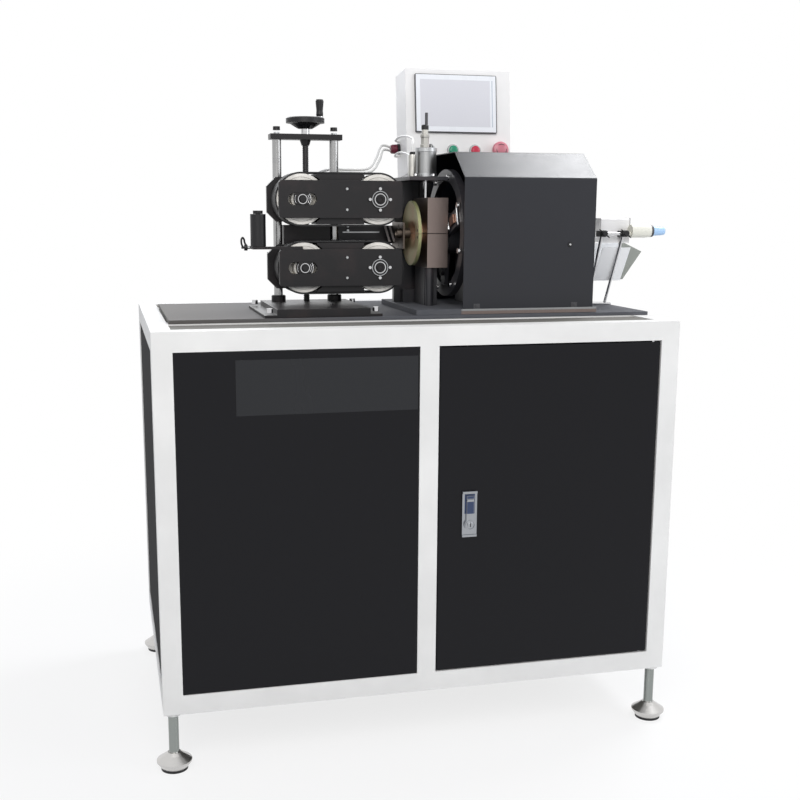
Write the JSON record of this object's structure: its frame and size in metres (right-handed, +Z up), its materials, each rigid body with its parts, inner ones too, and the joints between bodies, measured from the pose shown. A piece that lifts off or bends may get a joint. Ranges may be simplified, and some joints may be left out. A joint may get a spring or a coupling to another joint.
{
  "type": "rotary tube cutting machine",
  "caption": "Bench-height machine that feeds soft tube between two belts, clamps it in split dies and cuts it with a rotating ring under a cover, on a cabinet.",
  "frame": {"origin": "on the floor under the middle of the machine's whole outline, feet and outlet sensor included", "axes": "+X along the tube from inlet to outlet, +Y from the operator's side to the back, +Z up"},
  "size_m": [1.209, 0.7318, 1.4604],
  "materials": {
    "white_paint": "warm white powder coat, satin",
    "gloss_black": "glossy black panel",
    "deck_grey": "grey satin sheet",
    "plate_steel": "ground and polished plate",
    "bright_steel": "hard chromed or polished",
    "black_oxide": "black oxide, satin",
    "black_paint": "black powder coat, satin",
    "cream_nylon": "cream nylon",
    "rubber": "matt black rubber",
    "black_plastic": "black moulded plastic",
    "die_aluminium": "machined, fine brushed",
    "olive_brass": "dull turned brass",
    "cylinder_aluminium": "anodised, satin",
    "grey_plastic": "grey moulded fitting",
    "device_grey": "device housings on a zinc plate",
    "screen": "pale glossy touch panel",
    "green": "green lens",
    "red": "red lens",
    "white_cable": "white cable sheath",
    "sheet_steel": "bare sheet"
  },
  "bodies": {
    "machine": {"frame": "white_paint", "outer_panels": "gloss_black", "sheet_decks": "deck_grey", "electric_plate": "device_grey", "base_plate": "plate_steel", "foot_studs": "bright_steel", "foot_pads": "rubber", "hinge_pins": "bright_steel", "feeder_base": "black_oxide", "guide_posts": "bright_steel", "crossbar": "black_oxide", "cap_screws": "black_oxide", "lower_block": "black_oxide", "lower_back_plate": "black_oxide", "lower_front_bar": "black_oxide", "lower_belt": "rubber", "lower_motor": "black_paint", "guide_bracket": "black_oxide", "infeed_nozzle": "sheet_steel", "clamp_frame": "black_oxide", "lower_die": "die_aluminium", "lower_funnel": "olive_brass", "air_cylinder": "cylinder_aluminium", "air_fittings": "grey_plastic", "cutter_base": "plate_steel", "spindle_housing": "black_oxide", "cutter_motor": "black_paint", "cover": "black_paint", "control_box": "white_paint", "touch_panel": "screen", "feed_cables": "white_cable", "outlet_stand": "bright_steel", "outlet_sensor": "cream_nylon", "outlet_chute": "sheet_steel"},
    "door": {"door_panel": "gloss_black", "lock_body": "bright_steel"},
    "lock": {"lock_handle": "bright_steel"},
    "hand_screw": {"leadscrew": "black_oxide", "handwheel": "black_plastic"},
    "crank": {"crank_grip": "black_plastic"},
    "upper_unit": {"upper_carriage": "black_oxide", "upper_back_plate": "black_oxide", "upper_front_bar": "black_oxide", "upper_belt": "rubber", "upper_motor": "black_paint"},
    "upper_drive": {"upper_drive_pulley": "cream_nylon"},
    "upper_idler": {"upper_idler_pulley": "cream_nylon"},
    "lower_drive": {"lower_drive_pulley": "cream_nylon"},
    "lower_idler": {"lower_idler_pulley": "cream_nylon"},
    "inlet_roller": {"guide_roller": "black_plastic"},
    "inlet_lever": {"guide_lever": "black_plastic"},
    "clamp_head": {"upper_die": "die_aluminium", "upper_funnel": "olive_brass", "piston_rod": "bright_steel"},
    "cutter": {"cutter_ring": "black_oxide"},
    "blade_carriage": {"blade_slide": "bright_steel"},
    "selector_knob": {"selector": "black_plastic"},
    "green_plunger": {"green_button": "green"},
    "red_plunger": {"red_button": "red"},
    "estop_plunger": {"estop_button": "red"}
  },
  "joints": [
    {"name": "door_hinge", "type": "hinge", "parent": "machine", "child": "door", "pos_m": [0.4545, -0.342, 0.51], "axis": [0, 0, 1], "range_deg": [0, 110]},
    {"name": "lock_turn", "type": "hinge", "parent": "door", "child": "lock", "pos_m": [0.0505, -0.34, 0.485], "axis": [0, -1, 0], "range_deg": [0, 90]},
    {"name": "upper_slide", "type": "slide", "parent": "machine", "child": "upper_unit", "axis": [0, 0, 1], "range_m": [-0.025, 0.055]},
    {"name": "handwheel_turn", "type": "hinge", "parent": "machine", "child": "hand_screw", "pos_m": [-0.2245, 0.015, 1.3], "axis": [0, 0, 1], "range_deg": [-4951, 2251]},
    {"name": "crank_spin", "type": "hinge", "parent": "hand_screw", "child": "crank", "pos_m": [-0.192, 0.015, 1.35], "axis": [0, 0, 1], "continuous": true},
    {"name": "upper_drive_spin", "type": "hinge", "parent": "upper_unit", "child": "upper_drive", "pos_m": [-0.0805, -0.05, 1.151], "axis": [0, 1, 0], "continuous": true},
    {"name": "upper_idler_spin", "type": "hinge", "parent": "upper_unit", "child": "upper_idler", "pos_m": [-0.2505, -0.05, 1.151], "axis": [0, 1, 0], "continuous": true},
    {"name": "lower_drive_spin", "type": "hinge", "parent": "machine", "child": "lower_drive", "pos_m": [-0.0805, -0.05, 1.005], "axis": [0, 1, 0], "continuous": true},
    {"name": "lower_idler_spin", "type": "hinge", "parent": "machine", "child": "lower_idler", "pos_m": [-0.2465, -0.05, 1.005], "axis": [0, 1, 0], "continuous": true},
    {"name": "roller_spin", "type": "hinge", "parent": "machine", "child": "inlet_roller", "pos_m": [-0.3445, -0.0745, 1.085], "axis": [0, 0, 1], "continuous": true},
    {"name": "lever_turn", "type": "hinge", "parent": "machine", "child": "inlet_lever", "pos_m": [-0.3735, -0.0545, 1.048], "axis": [1, 0, 0], "range_deg": [0, 90]},
    {"name": "clamp_slide", "type": "slide", "parent": "machine", "child": "clamp_head", "axis": [0, 0, 1], "range_m": [0, 0.03]},
    {"name": "cutter_spin", "type": "hinge", "parent": "machine", "child": "cutter", "pos_m": [0.0875, -0.05, 1.078], "axis": [1, 0, 0], "continuous": true},
    {"name": "blade_feed", "type": "slide", "parent": "cutter", "child": "blade_carriage", "axis": [0, 0.9397, -0.342], "range_m": [0, 0.007], "stiffness_N_per_m": 300, "springref_m": -0.004},
    {"name": "selector_turn", "type": "hinge", "parent": "machine", "child": "selector_knob", "pos_m": [0.1015, 0.15634, 1.27064], "axis": [0, -0.9936, 0.1132], "range_deg": [-45, 45]},
    {"name": "green_press", "type": "slide", "parent": "machine", "child": "green_plunger", "axis": [0, 0.9936, -0.1132], "range_m": [0, 0.004], "stiffness_N_per_m": 400, "springref_m": -0.001},
    {"name": "red_press", "type": "slide", "parent": "machine", "child": "red_plunger", "axis": [0, 0.9936, -0.1132], "range_m": [0, 0.004], "stiffness_N_per_m": 400, "springref_m": -0.001},
    {"name": "estop_press", "type": "slide", "parent": "machine", "child": "estop_plunger", "axis": [0, 0.9936, -0.1132], "range_m": [0, 0.006]}
  ],
  "couplings": [
    {"joint": "handwheel_turn", "follows": "upper_slide", "rad_per_m": -1570.8},
    {"joint": "upper_idler_spin", "follows": "upper_drive_spin", "ratio": 1},
    {"joint": "lower_drive_spin", "follows": "upper_drive_spin", "ratio": -1},
    {"joint": "lower_idler_spin", "follows": "upper_drive_spin", "ratio": -1}
  ]
}
